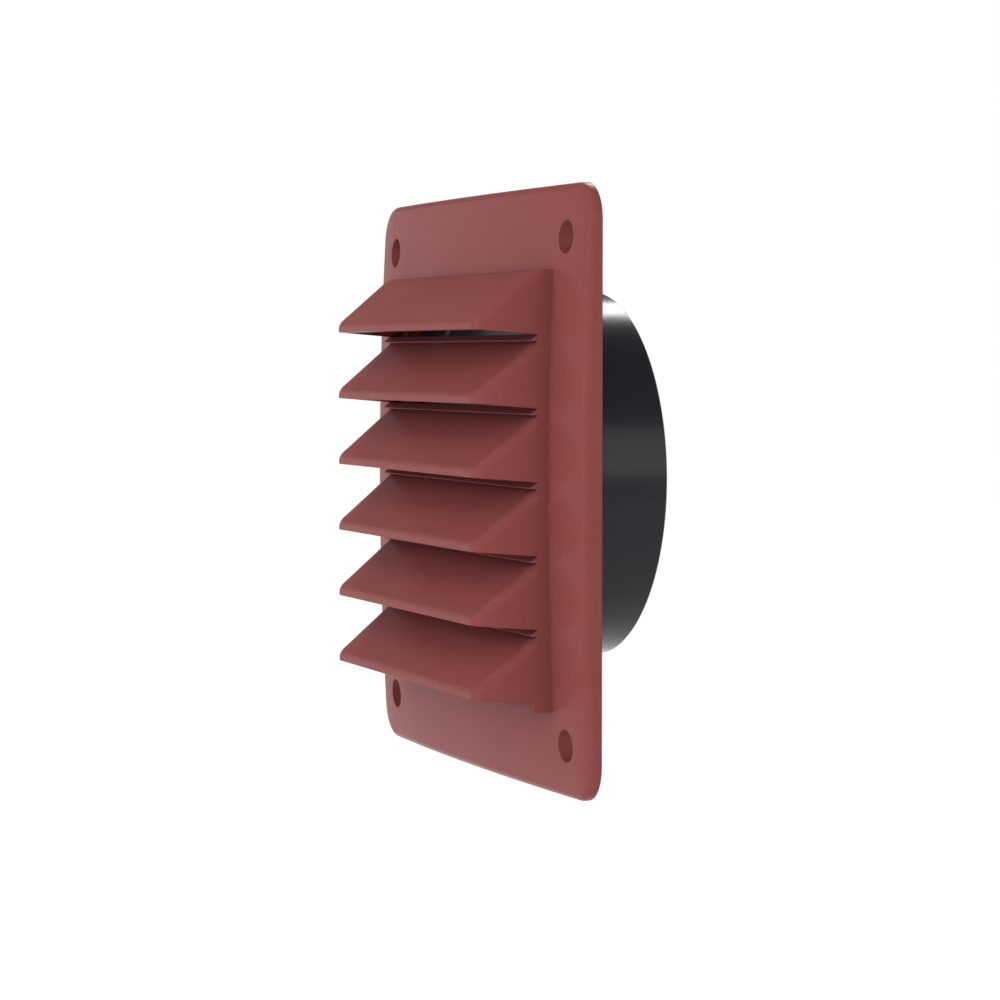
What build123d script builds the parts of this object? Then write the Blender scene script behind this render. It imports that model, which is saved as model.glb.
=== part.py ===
from build123d import *
import math
import os

# External wall vent: a louvred front cover and a round duct spigot behind it.
# Frame: the origin is the middle of the square flange on the wall plane,
# the front faces -Y, the duct runs to +Y, X is to the right and Z is up.

# Flange, a nearly square plate with a slightly domed front and a hollow back.
flange_width = 155.0
flange_height = 156.2
flange_corner_radius = 9.5
flange_edge_rounding = 2.2
dome_radius = 1266.0
dome_height = 7.5
sheet_thickness = 2.2
rim_wall = 2.7

# The rounding is cut with a wedge whose arc stands this much outside the two faces,
# so that it crosses them cleanly.
edge_overlap = 0.02

# Middle of the ball that shapes the domed front.
dome_middle = Vector(0, dome_radius - dome_height, 0)

# Fixing holes near the corners.
hole_spacing_x = 128.0
hole_spacing_z = 129.0
hole_diameter = 8.4
boss_diameter = 14.0

# Raised louvre box on the flange.
box_half_height = 56.5
box_front = 10.65
side_draft = 6.0
side_half_width = 55.56
side_half_width_at = 22.43
side_wall = 2.2
box_wall = 2.3
box_step = 8.0
box_corner_rounding = 1.0
box_top_rounding = 4.0

# Hooded louvres, counted from the top.
louvre_count = 6
louvre_pitch = 18.84
nose_z_top_louvre = 41.3
nose_reach = 25.7
nose_height = 2.07
nose_corner_radius = 3.6
blade_slope = 0.822
blade_thickness = 2.0
hood_edge_rounding = 2.6
nose_wall = 2.0
cheek_fall = 0.08

# Rail between two louvres, with a lip and a groove on its front.
rail_back = 7.0
lip_drop = 2.75
groove_drop = 3.0

# Square opening behind the louvres and the seat for the duct plate.
opening_size = 98.0
opening_corner_radius = 6.0
seat_wall = 3.0
plate_front = 2.0

# Duct spigot with its square plate.
duct_diameter = 100.0
duct_wall = 2.5
duct_end = 30.6
duct_rise = 2.1
duct_rim_chamfer = 0.4
plate_size = 120.0
plate_corner_radius = 6.0
mouth_chamfer = 0.8

# Rib on the back of the flange that keeps the duct plate in its place.
rib_gap = 0.3
rib_wall = 1.4
rib_end = 0.4


def side_x(y):
    # Half width of the drafted sides at the depth y.
    return side_half_width + math.tan(math.radians(side_draft)) * (y + side_half_width_at)


def nose_z(i):
    return nose_z_top_louvre - louvre_pitch * i


def blade_top_z(i, y):
    return nose_z(i) + nose_height + blade_slope * (y + nose_reach)


def blade_under_z(i, y):
    drop = blade_thickness * math.sqrt(1.0 + blade_slope ** 2)
    return blade_top_z(i, y) - drop


def blade_top_y(i, z):
    return (z - nose_z(i) - nose_height) / blade_slope - nose_reach


def cheek_end(i):
    # Where the lower edge of a cheek ends: y, and the drop below the nose.
    # It meets the sloping lip, and at the last louvre the flat front of the bottom rail.
    if i == louvre_count - 1:
        return -box_front, cheek_fall * (nose_reach - box_front)
    rise = lip_drop - cheek_fall * (nose_reach - box_front)
    step = rise / (blade_slope + cheek_fall)
    y = step - box_front
    return y, cheek_fall * (y + nose_reach)


def profile_solid(points, half_width):
    # A closed outline in Y and Z, extruded both ways along X.
    face = make_face(Plane.YZ * Polyline(*points, close=True))
    return extrude(face, amount=half_width, both=True)


def plan_solid(points, z_low, z_high):
    # A closed outline in X and Y, extruded along Z.
    face = make_face(Plane.XY.offset(z_low) * Polyline(*points, close=True))
    return extrude(face, amount=z_high - z_low)


def rounded_block(size_x, size_z, radius, y_front, y_back, z_middle):
    # A square block with rounded corners, standing along Y.
    outline = Plane.XZ.offset(-y_back) * Pos(0, z_middle) * RectangleRounded(size_x, size_z, radius)
    return extrude(outline, amount=y_back - y_front)


def round_block(diameter, x, z, y_front, y_back):
    outline = Plane.XZ.offset(-y_back) * Pos(x, z) * Circle(diameter / 2)
    return extrude(outline, amount=y_back - y_front)


def dome(offset):
    # The ball whose surface is the domed front, moved back by the offset.
    return Pos(dome_middle) * Sphere(dome_radius - offset)


def hole_places():
    places = []
    for sx in (-1, 1):
        for sz in (-1, 1):
            places.append((sx * hole_spacing_x / 2, sz * hole_spacing_z / 2))
    return places


def wedge_face(middle, up, out, first, last):
    # The sharp corner outside a rounding, in the plane of the two directions up and out.
    # The arc runs round the middle from the angle first to the angle last, counted from up to out.
    reach = flange_edge_rounding + edge_overlap
    beyond = 3.0
    spots = []
    for part in (0, 0.5, 1):
        angle = first + (last - first) * part
        spots.append(middle + up * (reach * math.cos(angle)) + out * (reach * math.sin(angle)))
    above = spots[0] + up * beyond
    beside = spots[2] + out * beyond
    corner = beside + up * (reach + beyond)
    arc = ThreePointArc(spots[0], spots[1], spots[2])
    rest = Polyline(spots[2], beside, corner, above, spots[0])
    return make_face([arc, rest])


def side_wedge(out, reach, swing):
    # Along a side the ball's middle keeps to a large circle about the middle of the dome.
    up = Vector(0, -1, 0)
    track = dome_radius - flange_edge_rounding
    to_rim = math.asin(reach / track)
    middle = dome_middle + up * (track * math.cos(to_rim)) + out * reach
    section = wedge_face(middle, up, out, to_rim, math.pi / 2)
    axis = Axis(dome_middle, out)
    return revolve(section.rotate(axis, -swing), axis, 2 * swing)


def make_edge_wedges():
    # What is taken off the rim of the flange, so that a ball could roll round it.
    # At a corner the ball's middle turns about a line that leans outwards with the dome.
    track = dome_radius - flange_edge_rounding
    reach_x = flange_width / 2 - flange_edge_rounding
    reach_z = flange_height / 2 - flange_edge_rounding
    corner_reach = flange_corner_radius - flange_edge_rounding
    corner_height = math.sqrt(track ** 2 - corner_reach ** 2)
    spread = math.atan(corner_reach / corner_height)
    lean_x = math.asin(reach_x / track) - spread
    lean_z = math.asin(reach_z / track) - spread
    sine_x = math.sin(lean_x)
    sine_z = math.sin(lean_z)
    leaning = Vector(sine_x, -math.sqrt(1 - sine_x ** 2 - sine_z ** 2), sine_z)

    swing_x = math.degrees(math.atan2(leaning.Z, -leaning.Y))
    swing_z = math.degrees(math.atan2(leaning.X, -leaning.Y))
    right = side_wedge(Vector(1, 0, 0), reach_x, swing_x)
    top = side_wedge(Vector(0, 0, 1), reach_z, swing_z)

    out_x = (Vector(1, 0, 0) - leaning * sine_x).normalized()
    out_z = (Vector(0, 0, 1) - leaning * sine_z).normalized()
    turn = math.degrees(math.acos(out_x.dot(out_z)))
    middle = dome_middle + leaning * corner_height + out_x * corner_reach
    corner = wedge_face(middle, leaning, out_x, spread, math.pi / 2 - lean_x)
    if out_x.cross(out_z).dot(leaning) > 0:
        corner_axis = Axis(dome_middle, leaning)
    else:
        corner_axis = Axis(dome_middle, leaning * -1)
    corner = revolve(corner, corner_axis, turn)
    upper = right + top + corner + mirror(right + corner, Plane.YZ)
    return upper + mirror(top + corner + mirror(corner, Plane.YZ), Plane.XY)


def make_flange():
    plate = rounded_block(flange_width, flange_height, flange_corner_radius, -dome_height - 1, 0, 0)
    plate = plate & dome(0)
    plate = plate - make_edge_wedges()
    inner_width = flange_width - 2 * rim_wall
    inner_height = flange_height - 2 * rim_wall
    inner_radius = flange_corner_radius - rim_wall
    hollow = rounded_block(inner_width, inner_height, inner_radius, -dome_height, 1, 0)
    hollow = hollow & dome(sheet_thickness)
    plate = plate - hollow
    for x, z in hole_places():
        plate = plate + (round_block(boss_diameter, x, z, -dome_height, 0) & dome(1.0))
    return plate


def make_locating_rib():
    inside = plate_size + 2 * rib_gap
    outside = inside + 2 * rib_wall
    inside_radius = plate_corner_radius + rib_gap
    rib = rounded_block(outside, outside, inside_radius + rib_wall, -dome_height, -rib_end, 0)
    rib = rib - rounded_block(inside, inside, inside_radius, -dome_height - 1, 1, 0)
    return rib & dome(1.0)


def make_box_profile():
    # Stepped side outline of the box behind the hoods, from the top down.
    # Under each groove it steps back, and the hood fills that place.
    end_y, end_drop = cheek_end(0)
    points = [(-1.0, box_half_height)]
    points.append((-box_step, box_half_height))
    points.append((-box_step, box_half_height - 5.0))
    for i in range(louvre_count - 1):
        z = nose_z(i)
        groove_z = z - groove_drop
        groove_y = blade_top_y(i + 1, groove_z)
        points.append((-box_front, blade_top_z(i, -box_front) - 5.0))
        points.append((-box_front, z - cheek_fall * (nose_reach - box_front)))
        points.append((end_y, z - end_drop))
        points.append((-box_front, z - lip_drop))
        points.append((-box_front, groove_z))
        points.append((groove_y, groove_z))
        points.append((groove_y, blade_top_z(i + 1, groove_y) - 5.0))
    points.append((-box_front, blade_top_z(louvre_count - 1, -box_front) - 5.0))
    points.append((-box_front, -box_half_height))
    points.append((-1.0, -box_half_height))
    return points


def make_box():
    sides = [
        (-side_x(-box_front), -box_front),
        (side_x(-box_front), -box_front),
        (side_x(-1.0), -1.0),
        (-side_x(-1.0), -1.0),
    ]
    plan = plan_solid(sides, -80.0, 80.0)
    front_corners = plan.edges().filter_by(Axis.Z).group_by(Axis.Y)[0]
    plan = fillet(front_corners, box_corner_rounding)
    block = profile_solid(make_box_profile(), 70.0)
    return (block & plan) - dome(1.0)


def hood_plan(inset, y_nose, y_back, z_low, z_high, radius):
    # Plan of one hood: flat nose, rounded front corners and drafted sides.
    points = [
        (-(side_x(y_nose) - inset), y_nose),
        (side_x(y_nose) - inset, y_nose),
        (side_x(y_back) - inset, y_back),
        (-(side_x(y_back) - inset), y_back),
    ]
    block = plan_solid(points, z_low, z_high)
    corners = block.edges().filter_by(Axis.Z).group_by(Axis.Y)[0]
    return fillet(corners, radius)


def make_top_rounding():
    # The sharp wedge taken off where the first blade meets the top of the box.
    turn = math.atan(blade_slope)
    corner_y = blade_top_y(0, box_half_height)
    reach = box_top_rounding * math.tan(turn / 2)
    deeper = 0.004
    middle_y = corner_y + reach
    middle_z = box_half_height - box_top_rounding - deeper
    arc = []
    for k in range(3):
        angle = turn * (1 - k / 2) * 1.06 - turn * 0.03
        y = middle_y - box_top_rounding * math.sin(angle)
        z = middle_z + box_top_rounding * math.cos(angle)
        arc.append((y, z))
    curve = Plane.YZ * ThreePointArc(arc[0], arc[1], arc[2])
    above = box_half_height + 3
    rest = Plane.YZ * Polyline(arc[2], (arc[2][0], above), (arc[0][0] - 2, above), arc[0])
    return extrude(make_face([curve, rest]), amount=70.0, both=True)


def make_hood(i):
    end_y, end_drop = cheek_end(i)
    z = nose_z(i)
    back = -rail_back - 0.4
    low = z - end_drop
    points = [
        (-nose_reach - 2, z + cheek_fall * 2),
        (-nose_reach - 2, blade_top_z(i, -nose_reach - 2)),
    ]
    if i == 0:
        points.append((blade_top_y(i, box_half_height), box_half_height))
        points.append((back, box_half_height))
    else:
        points.append((back, blade_top_z(i, back)))
    points.append((back, low))
    points.append((end_y, low))
    hood = profile_solid(points, 70.0)
    hood = hood & hood_plan(0, -nose_reach, -4.0, z - 10, z + 30, nose_corner_radius)
    tilt = math.sqrt(1.0 + blade_slope ** 2)
    blade_normal = Vector(0, -blade_slope / tilt, 1.0 / tilt)
    blade = hood.faces().filter_by(lambda f: f.normal_at().dot(blade_normal) > 0.999)[0]
    edges = blade.edges().sort_by(Axis.Y)
    hood = fillet(edges[:-1], hood_edge_rounding)
    if i == 0:
        hood = hood - make_top_rounding()
    return hood


def make_hood_space(i):
    # The air space under one blade, open at the bottom and into the box.
    end_y, end_drop = cheek_end(i)
    z = nose_z(i)
    inner_nose = -nose_reach + nose_wall
    back = -rail_back + 0.5
    points = [
        (inner_nose, z - 3.0),
        (inner_nose, blade_under_z(i, inner_nose)),
        (-rail_back, blade_under_z(i, -rail_back)),
        (back, blade_under_z(i, -rail_back)),
        (back, z - end_drop),
        (end_y, z - end_drop),
    ]
    if i == louvre_count - 1:
        points.append((-box_front, z - 3.0))
    else:
        points.append((-box_front - 0.6, z - lip_drop - 0.6 * blade_slope))
    space = profile_solid(points, 70.0)
    return space & hood_plan(side_wall, inner_nose, -4.0, z - 10, z + 30, 1.4)


def make_box_space():
    # The open inside of the box behind the rails, up to the flange sheet.
    top = box_half_height - box_wall
    last = louvre_count - 1
    low = nose_z(last) - cheek_end(last)[1]
    sides = [
        (-(side_x(-rail_back) - side_wall), -rail_back),
        (side_x(-rail_back) - side_wall, -rail_back),
        (side_x(0) - side_wall, 0.0),
        (-(side_x(0) - side_wall), 0.0),
    ]
    space = plan_solid(sides, low, top)
    return space - dome(0)


def make_front_cover():
    cover = make_flange() + make_locating_rib() + make_box()
    for i in range(louvre_count):
        cover = cover + make_hood(i)
    for i in range(louvre_count):
        cover = cover - make_hood_space(i)
    cover = cover - make_box_space()
    seat_size = opening_size + 2 * seat_wall
    seat_radius = opening_corner_radius + seat_wall
    seat = rounded_block(seat_size, seat_size, seat_radius, -dome_height, -plate_front, duct_rise)
    cover = cover + (seat & dome(1.0))
    opening = rounded_block(
        opening_size, opening_size, opening_corner_radius, -rail_back, 1, duct_rise
    )
    cover = cover - opening
    for x, z in hole_places():
        cover = cover - round_block(hole_diameter, x, z, -dome_height - 2, 1)
    return cover


def make_duct_spigot():
    plate = rounded_block(plate_size, plate_size, plate_corner_radius, -plate_front, 0, 0)
    tube = round_block(duct_diameter, 0, duct_rise, -plate_front, duct_end)
    bore_diameter = duct_diameter - 2 * duct_wall
    bore = round_block(bore_diameter, 0, duct_rise, -plate_front - 1, duct_end + 1)
    body = plate + tube - bore
    rings = body.edges().filter_by(GeomType.CIRCLE)
    rings = rings.filter_by(lambda e: e.radius > plate_corner_radius + 1)
    ends = rings.sort_by(Axis.Y)
    body = chamfer(ends[0], mouth_chamfer)
    rings = body.edges().filter_by(GeomType.CIRCLE)
    rings = rings.filter_by(lambda e: abs(e.center().Y - duct_end) < 0.01)
    return chamfer(rings, duct_rim_chamfer)


os.makedirs("parts", exist_ok=True)
front_cover = make_front_cover()
export_step(front_cover, "parts/front_cover.step")
duct_spigot = make_duct_spigot()
export_step(duct_spigot, "parts/duct_spigot.step")
print("cover volume", round(front_cover.volume / 1000, 1), "cm3, solids", len(front_cover.solids()))
print("spigot volume", round(duct_spigot.volume / 1000, 1), "cm3, solids", len(duct_spigot.solids()))
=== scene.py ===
# %% [markdown]
# # A louvred wall vent in terracotta plastic
#
# The object is the outer end of a wall duct: a square cover with six fixed louvres, and
# behind it a short black tube that goes into the wall. Its shape is already finished and
# packed as the frame, so this script does not model it again. What is left is what the
# eye reads as "a real moulding": how the plastic takes the light, how its skin is a
# little uneven, and where its edges catch a thin line of light.
#
# The frame is loaded first. Its pieces stand at their real place and size, in metres.

# %% Load the frame
import math
import bmesh
import bpy
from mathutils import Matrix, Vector


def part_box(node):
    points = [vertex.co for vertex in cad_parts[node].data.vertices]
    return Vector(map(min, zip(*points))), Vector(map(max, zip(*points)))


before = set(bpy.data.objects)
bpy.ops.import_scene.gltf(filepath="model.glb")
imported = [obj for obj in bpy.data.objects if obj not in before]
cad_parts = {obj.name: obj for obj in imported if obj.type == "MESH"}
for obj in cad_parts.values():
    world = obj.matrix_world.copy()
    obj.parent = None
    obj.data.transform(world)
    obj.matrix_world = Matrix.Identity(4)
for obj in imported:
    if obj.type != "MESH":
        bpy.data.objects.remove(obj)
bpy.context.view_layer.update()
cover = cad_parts["front_cover"]
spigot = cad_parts["duct_spigot"]

# %% [markdown]
# ## Sizes taken from the frame
#
# The cover's box gives its width, which sets how far down the floor lies and how large it
# is. All lamps aim at the middle of the depth, halfway between the noses of the louvres
# and the end of the tube, so they find the object also when its depth changes.

# %% Measure the pieces
cover_low, cover_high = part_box("front_cover")
spigot_low, spigot_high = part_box("duct_spigot")
width = cover_high.x - cover_low.x
middle = Vector((0.0, (cover_low.y + spigot_high.y) / 2, 0.0))
print("cover", round(width, 4), "wide, louvres reach to y", round(cover_low.y, 4))
print("tube piece from y", round(spigot_low.y, 4), "to", round(spigot_high.y, 4))

# %% [markdown]
# ## Colour management
#
# The Standard view shows a colour as it is written, with no film curve between the
# scene and the picture. Terracotta is a muted colour, and a film curve would wash it out.

# %% Set the view
scene = bpy.context.scene
scene.view_settings.view_transform = "Standard"
print("view:", scene.view_settings.view_transform)

# %% [markdown]
# ## Camera
#
# The vent is seen from the right and a little in front, almost along the wall, so that
# the louvres stand out in profile. The place was found by solving a pinhole camera from
# the corners, the screw holes and the repeated louvres. It is kept here as a place in
# metres and two angles: the turn away from looking straight at the wall, and the dip
# below the horizon.

# %% Place the camera
camera_place = Vector((0.75805, -0.29622, 0.03452))
camera_turn = math.radians(68.4496)
camera_dip = math.radians(2.7704)
camera_lens = 107.2
camera_sensor = 36.0
nearest_seen = 0.01
farthest_seen = 50.0

camera_data = bpy.data.cameras.new("camera")
camera_data.sensor_width = camera_sensor
camera_data.lens = camera_lens
camera_data.clip_start = nearest_seen
camera_data.clip_end = farthest_seen
camera = bpy.data.objects.new("camera", camera_data)
scene.collection.objects.link(camera)
look = Vector((
    -math.sin(camera_turn) * math.cos(camera_dip),
    math.cos(camera_turn) * math.cos(camera_dip),
    -math.sin(camera_dip),
))
camera.location = camera_place
camera.rotation_mode = "QUATERNION"
camera.rotation_quaternion = look.to_track_quat("-Z", "Y")
scene.camera = camera
print("camera at", [round(v, 3) for v in camera.location])

# %% [markdown]
# ## Node helpers
#
# A material is a graph: nodes make numbers and colours, links carry them to the shader.
# A few small functions keep the graphs below short. One adds a node and sets its plain
# values, one joins an output to an input, and one sets up a Map Range node, which turns
# one span of numbers into another.

# %% Helpers for node graphs
white = (1.0, 1.0, 1.0, 1.0)


def add_node(tree, kind, **values):
    node = tree.nodes.new(kind)
    for name, value in values.items():
        if hasattr(node, name):
            setattr(node, name, value)
        else:
            node.inputs[name].default_value = value
    return node


def join(tree, source, output, target, socket):
    tree.links.new(source.outputs[output], target.inputs[socket])


def map_range(tree, source, output, span, result, **values):
    node = add_node(tree, "ShaderNodeMapRange", **values)
    node.inputs["From Min"].default_value = span[0]
    node.inputs["From Max"].default_value = span[1]
    node.inputs["To Min"].default_value = result[0]
    node.inputs["To Max"].default_value = result[1]
    join(tree, source, output, node, "Value")
    return node


print("helpers ready")

# %% [markdown]
# ## Which rays see the white
#
# Cycles follows many rays. Those that come from the camera, and those that bounce off a
# gloss or pass through glass, show what stands there. The others only bring light. Light
# Path tells them apart, and this graph gives 1 for the first kind and 0 for the second.
# It lets a background be plain white without shining on the object.

# %% Tell seeing rays from lighting rays
def seeing_ray(tree):
    path = add_node(tree, "ShaderNodeLightPath")
    camera_or_gloss = add_node(tree, "ShaderNodeMath", operation="MAXIMUM")
    seeing = add_node(tree, "ShaderNodeMath", operation="MAXIMUM")
    join(tree, path, "Is Camera Ray", camera_or_gloss, 0)
    join(tree, path, "Is Glossy Ray", camera_or_gloss, 1)
    join(tree, camera_or_gloss, 0, seeing, 0)
    join(tree, path, "Is Transmission Ray", seeing, 1)
    return seeing


print("ray test ready")

# %% [markdown]
# ## Plain surroundings
#
# The world does two jobs. The seeing rays meet a white paper sheet that rises a little
# above the horizon. Above the sheet the camera still sees plain white, so that a view
# from below has the same background, but a gloss mirrors only the dim room there, as it
# does under a studio's ceiling. To the diffuse rays that light the plastic the world is
# a soft dome of light that is brightest in front of the louvres, with a little more on
# the side that faces the camera.

# %% Build the world
def build_world(front, side, room, sheet_top, room_start):
    world = bpy.data.worlds.new("white_sheet")
    world.use_nodes = True
    tree = world.node_tree
    tree.nodes.clear()
    place = add_node(tree, "ShaderNodeTexCoord")
    split = add_node(tree, "ShaderNodeSeparateXYZ")
    join(tree, place, "Generated", split, 0)

    towards_front = add_node(tree, "ShaderNodeMath", operation="MULTIPLY_ADD")
    towards_front.inputs[1].default_value = -front / 2
    towards_front.inputs[2].default_value = (front + side) / 2
    join(tree, split, "Y", towards_front, 0)
    towards_side = add_node(tree, "ShaderNodeMath", operation="MULTIPLY_ADD")
    towards_side.inputs[1].default_value = side / 2
    join(tree, split, "X", towards_side, 0)
    join(tree, towards_front, 0, towards_side, 2)
    lit = add_node(tree, "ShaderNodeBackground", Color=white)
    join(tree, towards_side, 0, lit, "Strength")

    fade = [math.sin(math.radians(height)) for height in (sheet_top, room_start)]
    paper = map_range(tree, split, "Z", fade, (1.0, room), interpolation_type="SMOOTHSTEP")
    path = add_node(tree, "ShaderNodeLightPath")
    backdrop = add_node(tree, "ShaderNodeMath", operation="MAXIMUM")
    join(tree, path, "Is Camera Ray", backdrop, 0)
    join(tree, paper, "Result", backdrop, 1)
    seen = add_node(tree, "ShaderNodeBackground", Color=white)
    join(tree, backdrop, 0, seen, "Strength")

    mix = add_node(tree, "ShaderNodeMixShader")
    join(tree, seeing_ray(tree), 0, mix, 0)
    join(tree, lit, 0, mix, 1)
    join(tree, seen, 0, mix, 2)
    out = add_node(tree, "ShaderNodeOutputWorld")
    join(tree, mix, 0, out, "Surface")
    return world


scene.world = build_world(front=0.37, side=0.07, room=0.12, sheet_top=10.0, room_start=15.0)
print("world:", scene.world.name)

# %% [markdown]
# ## Floor
#
# A wall vent stands on nothing: four screws hold it. The floor is far below it, so that
# no hard contact shadow claims that it rests there. It is a large pale sheet that takes
# the soft shadow of the object. A glow that only seeing rays meet lifts its grey to the
# white of the world, so the horizon disappears.

# %% Lay the floor
floor_drop = 2.4 * width
floor_half = 40.0 * width
floor_paint = (0.8, 0.8, 0.8, 1.0)
floor_glow = 0.85


def floor_material():
    material = bpy.data.materials.new("pale_floor")
    material.use_nodes = True
    tree = material.node_tree
    tree.nodes.clear()
    paint = add_node(tree, "ShaderNodeBsdfDiffuse", Color=floor_paint)
    glow = add_node(tree, "ShaderNodeEmission", Color=white)
    amount = add_node(tree, "ShaderNodeMath", operation="MULTIPLY")
    amount.inputs[1].default_value = floor_glow
    both = add_node(tree, "ShaderNodeAddShader")
    out = add_node(tree, "ShaderNodeOutputMaterial")
    join(tree, seeing_ray(tree), 0, amount, 0)
    join(tree, amount, 0, glow, "Strength")
    join(tree, paint, 0, both, 0)
    join(tree, glow, 0, both, 1)
    join(tree, both, 0, out, "Surface")
    return material


floor_mesh = bpy.data.meshes.new("floor")
sheet = bmesh.new()
bmesh.ops.create_grid(sheet, x_segments=1, y_segments=1, size=floor_half)
bmesh.ops.translate(sheet, verts=sheet.verts, vec=(0.0, 0.0, -floor_drop))
sheet.to_mesh(floor_mesh)
sheet.free()
floor = bpy.data.objects.new("floor", floor_mesh)
scene.collection.objects.link(floor)
floor_mesh.materials.append(floor_material())
print("floor", round(floor_drop, 3), "below the middle of the vent")

# %% [markdown]
# ## Lamps
#
# Soft boxes, placed in metres and aimed at the middle of the object. The main one stands
# in front of the louvres and a little above them, and a weaker one hangs high on the
# left. Two more stand on the camera's side: one in front of the wall plane, for the rim
# and the cheeks of the louvres, and one behind it, which also draws the faint grey band
# along the middle of the black tube. The last one hangs above and beyond the tube,
# behind the wall plane. Only the tube sees it, as the bright band near its top. Big
# lamps give soft shadows, which is what a plain moulding needs.

# %% Hang the lamps
def soft_box(name, place, size, watts):
    data = bpy.data.lights.new(name, "AREA")
    data.shape = "RECTANGLE"
    data.size, data.size_y = size
    data.energy = watts
    lamp = bpy.data.objects.new(name, data)
    lamp.location = place
    lamp.rotation_mode = "QUATERNION"
    lamp.rotation_quaternion = (middle - Vector(place)).to_track_quat("-Z", "Y")
    scene.collection.objects.link(lamp)


soft_box("front_box", place=(0.1, -1.5, 0.35), size=(0.9, 0.9), watts=10.0)
soft_box("high_box", place=(-0.45, -0.85, 1.05), size=(0.8, 0.8), watts=4.8)
soft_box("side_box", place=(1.45, -0.45, 0.5), size=(0.7, 0.7), watts=6.4)
soft_box("tube_glow_box", place=(1.4, 0.55, 0.37), size=(0.75, 0.75), watts=6.0)
soft_box("tube_top_box", place=(-0.77, 0.495, 0.985), size=(0.6, 0.33), watts=15.0)

# %% [markdown]
# ## Smooth shading over exact edges
#
# The frame's mesh is made of loose triangles, cut per face of the solid. A Weld modifier
# joins the corners that lie on each other, and an Edge Split modifier opens them again
# only where the faces meet at a real corner. Between the two, roundings shade as one
# smooth sheet, and the creases of the moulding stay crisp. The mesh itself is untouched.

# %% Shade the pieces
weld_reach = 0.000002
crease_angle = math.radians(28.0)


def shade_smooth(piece):
    for face in piece.data.polygons:
        face.use_smooth = True
    weld = piece.modifiers.new("weld", "WELD")
    weld.merge_threshold = weld_reach
    creases = piece.modifiers.new("creases", "EDGE_SPLIT")
    creases.use_edge_angle = True
    creases.split_angle = crease_angle


shade_smooth(cover)
shade_smooth(spigot)
print("faces:", len(cover.data.polygons), len(spigot.data.polygons))

# %% [markdown]
# ## Patterns on the plastic
#
# All patterns are noise on the Object coordinates, which are metres, so they keep their
# size on any copy. A scale of 50 then makes clouds of about 20 mm, and one of 900 makes
# grain of about a millimetre. The colour Mix node has sockets for every kind of data it
# can mix, so the ones for colours are reached by their numbers, which are named here.

# %% Helpers for patterns
mix_factor = 0
mix_first = 6
mix_second = 7
mixed_colour = 2


def noise(tree, place, scale, detail, roughness):
    pattern = add_node(
        tree, "ShaderNodeTexNoise", Scale=scale, Detail=detail, Roughness=roughness
    )
    join(tree, place, "Object", pattern, "Vector")
    return pattern


def pigment_clouds(tree, place, scale, dark, light):
    clouds = noise(tree, place, scale, detail=3.0, roughness=0.5)
    pigment = add_node(tree, "ShaderNodeMix", data_type="RGBA")
    pigment.inputs[mix_first].default_value = dark
    pigment.inputs[mix_second].default_value = light
    join(tree, clouds, "Fac", pigment, mix_factor)
    return pigment


def bump(tree, pattern, under, strength, height):
    relief = add_node(tree, "ShaderNodeBump", Strength=strength, Distance=height)
    join(tree, pattern, "Fac", relief, "Height")
    join(tree, under, "Normal", relief, "Normal")
    return relief


print("patterns ready")

# %% [markdown]
# ## The skin of a moulding
#
# Both pieces share the same kind of skin. A steel mould is polished but never perfect, so
# the plastic carries a fine grain, and on a larger scale it is slightly wavy where it
# shrank while cooling. Both go into the shader as a bump, which only bends the light.
# The gloss varies a little too, in broad clouds.
#
# No real moulding has a knife edge. The Bevel node rounds the shading over a third of a
# millimetre, so every lip and hole rim catches a thin line of light. How much the
# plastic mirrors at all is one number for the whole piece, so it is set on the shader.

# %% Build the skin
wave_height = 0.001
grain_height = 0.0001
bevel_rays = 4


def moulded_skin(material, mirror, grain, waves, gloss, edge):
    material.use_nodes = True
    tree = material.node_tree
    shader = tree.nodes["Principled BSDF"]
    shader.inputs["Specular IOR Level"].default_value = mirror
    place = add_node(tree, "ShaderNodeTexCoord")

    clouds = noise(tree, place, scale=38.0, detail=4.0, roughness=0.55)
    uneven_gloss = map_range(tree, clouds, "Fac", (0.3, 0.7), gloss)
    join(tree, uneven_gloss, "Result", shader, "Roughness")

    rounding = add_node(tree, "ShaderNodeBevel", samples=bevel_rays, Radius=edge)
    swell = noise(tree, place, scale=55.0, detail=1.0, roughness=0.4)
    wavy = bump(tree, swell, rounding, waves, wave_height)
    specks = noise(tree, place, scale=900.0, detail=1.0, roughness=0.6)
    grainy = bump(tree, specks, wavy, grain, grain_height)
    join(tree, grainy, "Normal", shader, "Normal")
    return tree, shader, place


print("skin ready")
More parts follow.
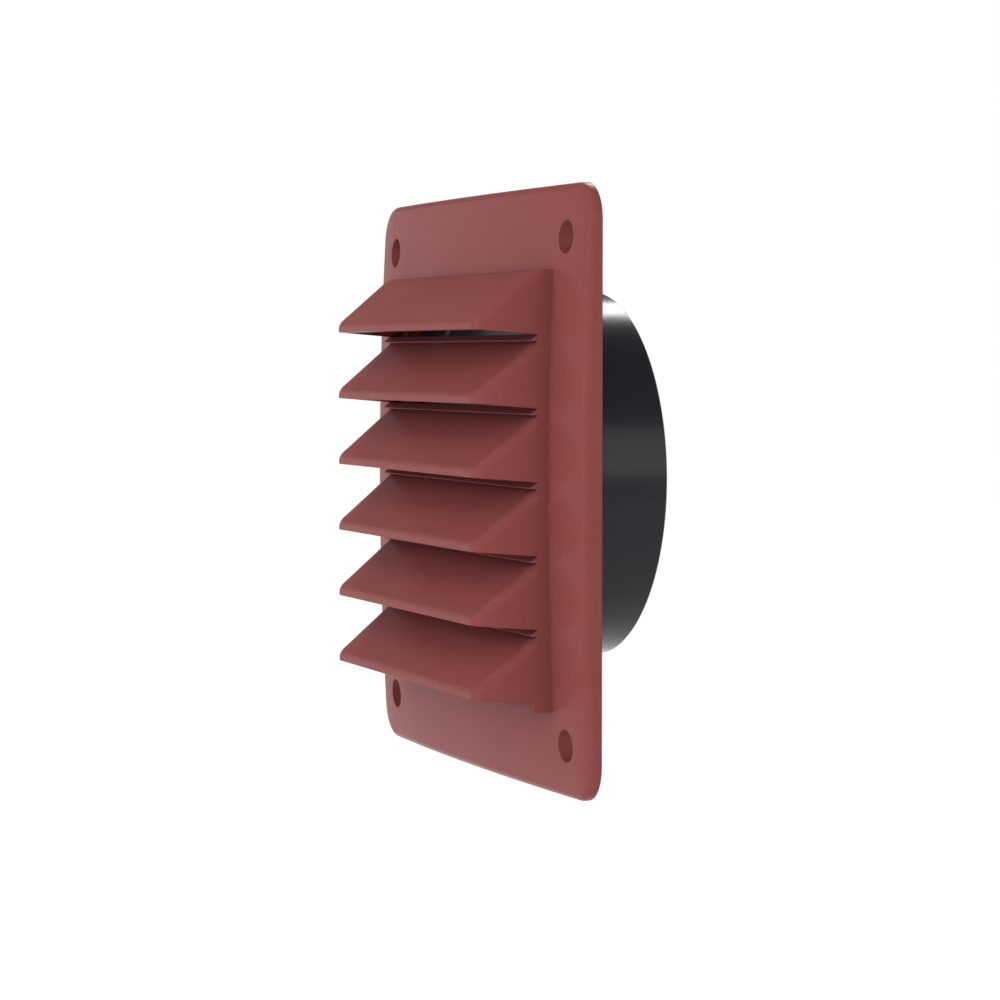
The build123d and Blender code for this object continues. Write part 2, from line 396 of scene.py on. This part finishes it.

# %% [markdown]
# ## Terracotta plastic
#
# The cover is moulded in one shot from coloured plastic, so the colour goes right
# through and the part has no paint coat. The pigment isn't mixed perfectly: there are broad
# clouds a shade lighter and darker, and very fine specks. In the narrow corners under the
# louvres the colour is darkened as painted shade, found by an Ambient Occlusion node, which
# measures how much of the sky over a point is blocked within a few millimetres.

# %% Make the cover's plastic
terracotta_dark = (0.230, 0.0595, 0.0570, 1.0)
terracotta_light = (0.252, 0.0670, 0.0645, 1.0)
# Colour, strength and reach of the painted shade in the narrow corners under the louvres.
corner_shade_colour = (0.120, 0.034, 0.032, 1.0)
corner_shade_most = 0.6
corner_shade_reach = 0.006
corner_rays = 4


def cover_plastic():
    material = bpy.data.materials.new("terracotta_plastic")
    tree, shader, place = moulded_skin(
        material, mirror=0.035, grain=0.04, waves=0.04, gloss=(0.28, 0.34), edge=0.00035
    )
    pigment = pigment_clouds(tree, place, 26.0, terracotta_dark, terracotta_light)

    flecks = noise(tree, place, scale=420.0, detail=2.0, roughness=0.6)
    shade = map_range(tree, flecks, "Fac", (0.35, 0.65), (0.985, 1.015))
    flecked = add_node(tree, "ShaderNodeVectorMath", operation="SCALE")
    join(tree, pigment, mixed_colour, flecked, 0)
    join(tree, shade, "Result", flecked, "Scale")

    # Painted shade: the Ambient Occlusion node darkens the base colour where nearby parts
    # block the sky, in corners and under the louvres.
    corner = add_node(
        tree, "ShaderNodeAmbientOcclusion", samples=corner_rays, Distance=corner_shade_reach
    )
    painted_shade = map_range(tree, corner, "AO", (0.2, 0.55), (corner_shade_most, 0.0))
    shaded_pigment = add_node(tree, "ShaderNodeMix", data_type="RGBA")
    shaded_pigment.inputs[mix_second].default_value = corner_shade_colour
    join(tree, painted_shade, "Result", shaded_pigment, mix_factor)
    join(tree, flecked, 0, shaded_pigment, mix_first)
    join(tree, shaded_pigment, mixed_colour, shader, "Base Color")
    return material


cover.data.materials.clear()
cover.data.materials.append(cover_plastic())
print("cover:", cover.data.materials[0].name)

# %% [markdown]
# ## Black plastic
#
# The tube is a harder, glossier black. It keeps almost no colour of its own: what shows
# is the room in it, so its gloss decides the look.

# %% Make the spigot's plastic
black_dark = (0.0190, 0.0210, 0.0240, 1.0)
black_light = (0.0220, 0.0245, 0.0280, 1.0)


def spigot_plastic():
    material = bpy.data.materials.new("black_plastic")
    tree, shader, place = moulded_skin(
        material, mirror=0.10, grain=0.03, waves=0.012, gloss=(0.19, 0.23), edge=0.0003
    )
    pigment = pigment_clouds(tree, place, 30.0, black_dark, black_light)
    join(tree, pigment, mixed_colour, shader, "Base Color")
    return material


spigot.data.materials.clear()
spigot.data.materials.append(spigot_plastic())
print("spigot:", spigot.data.materials[0].name)
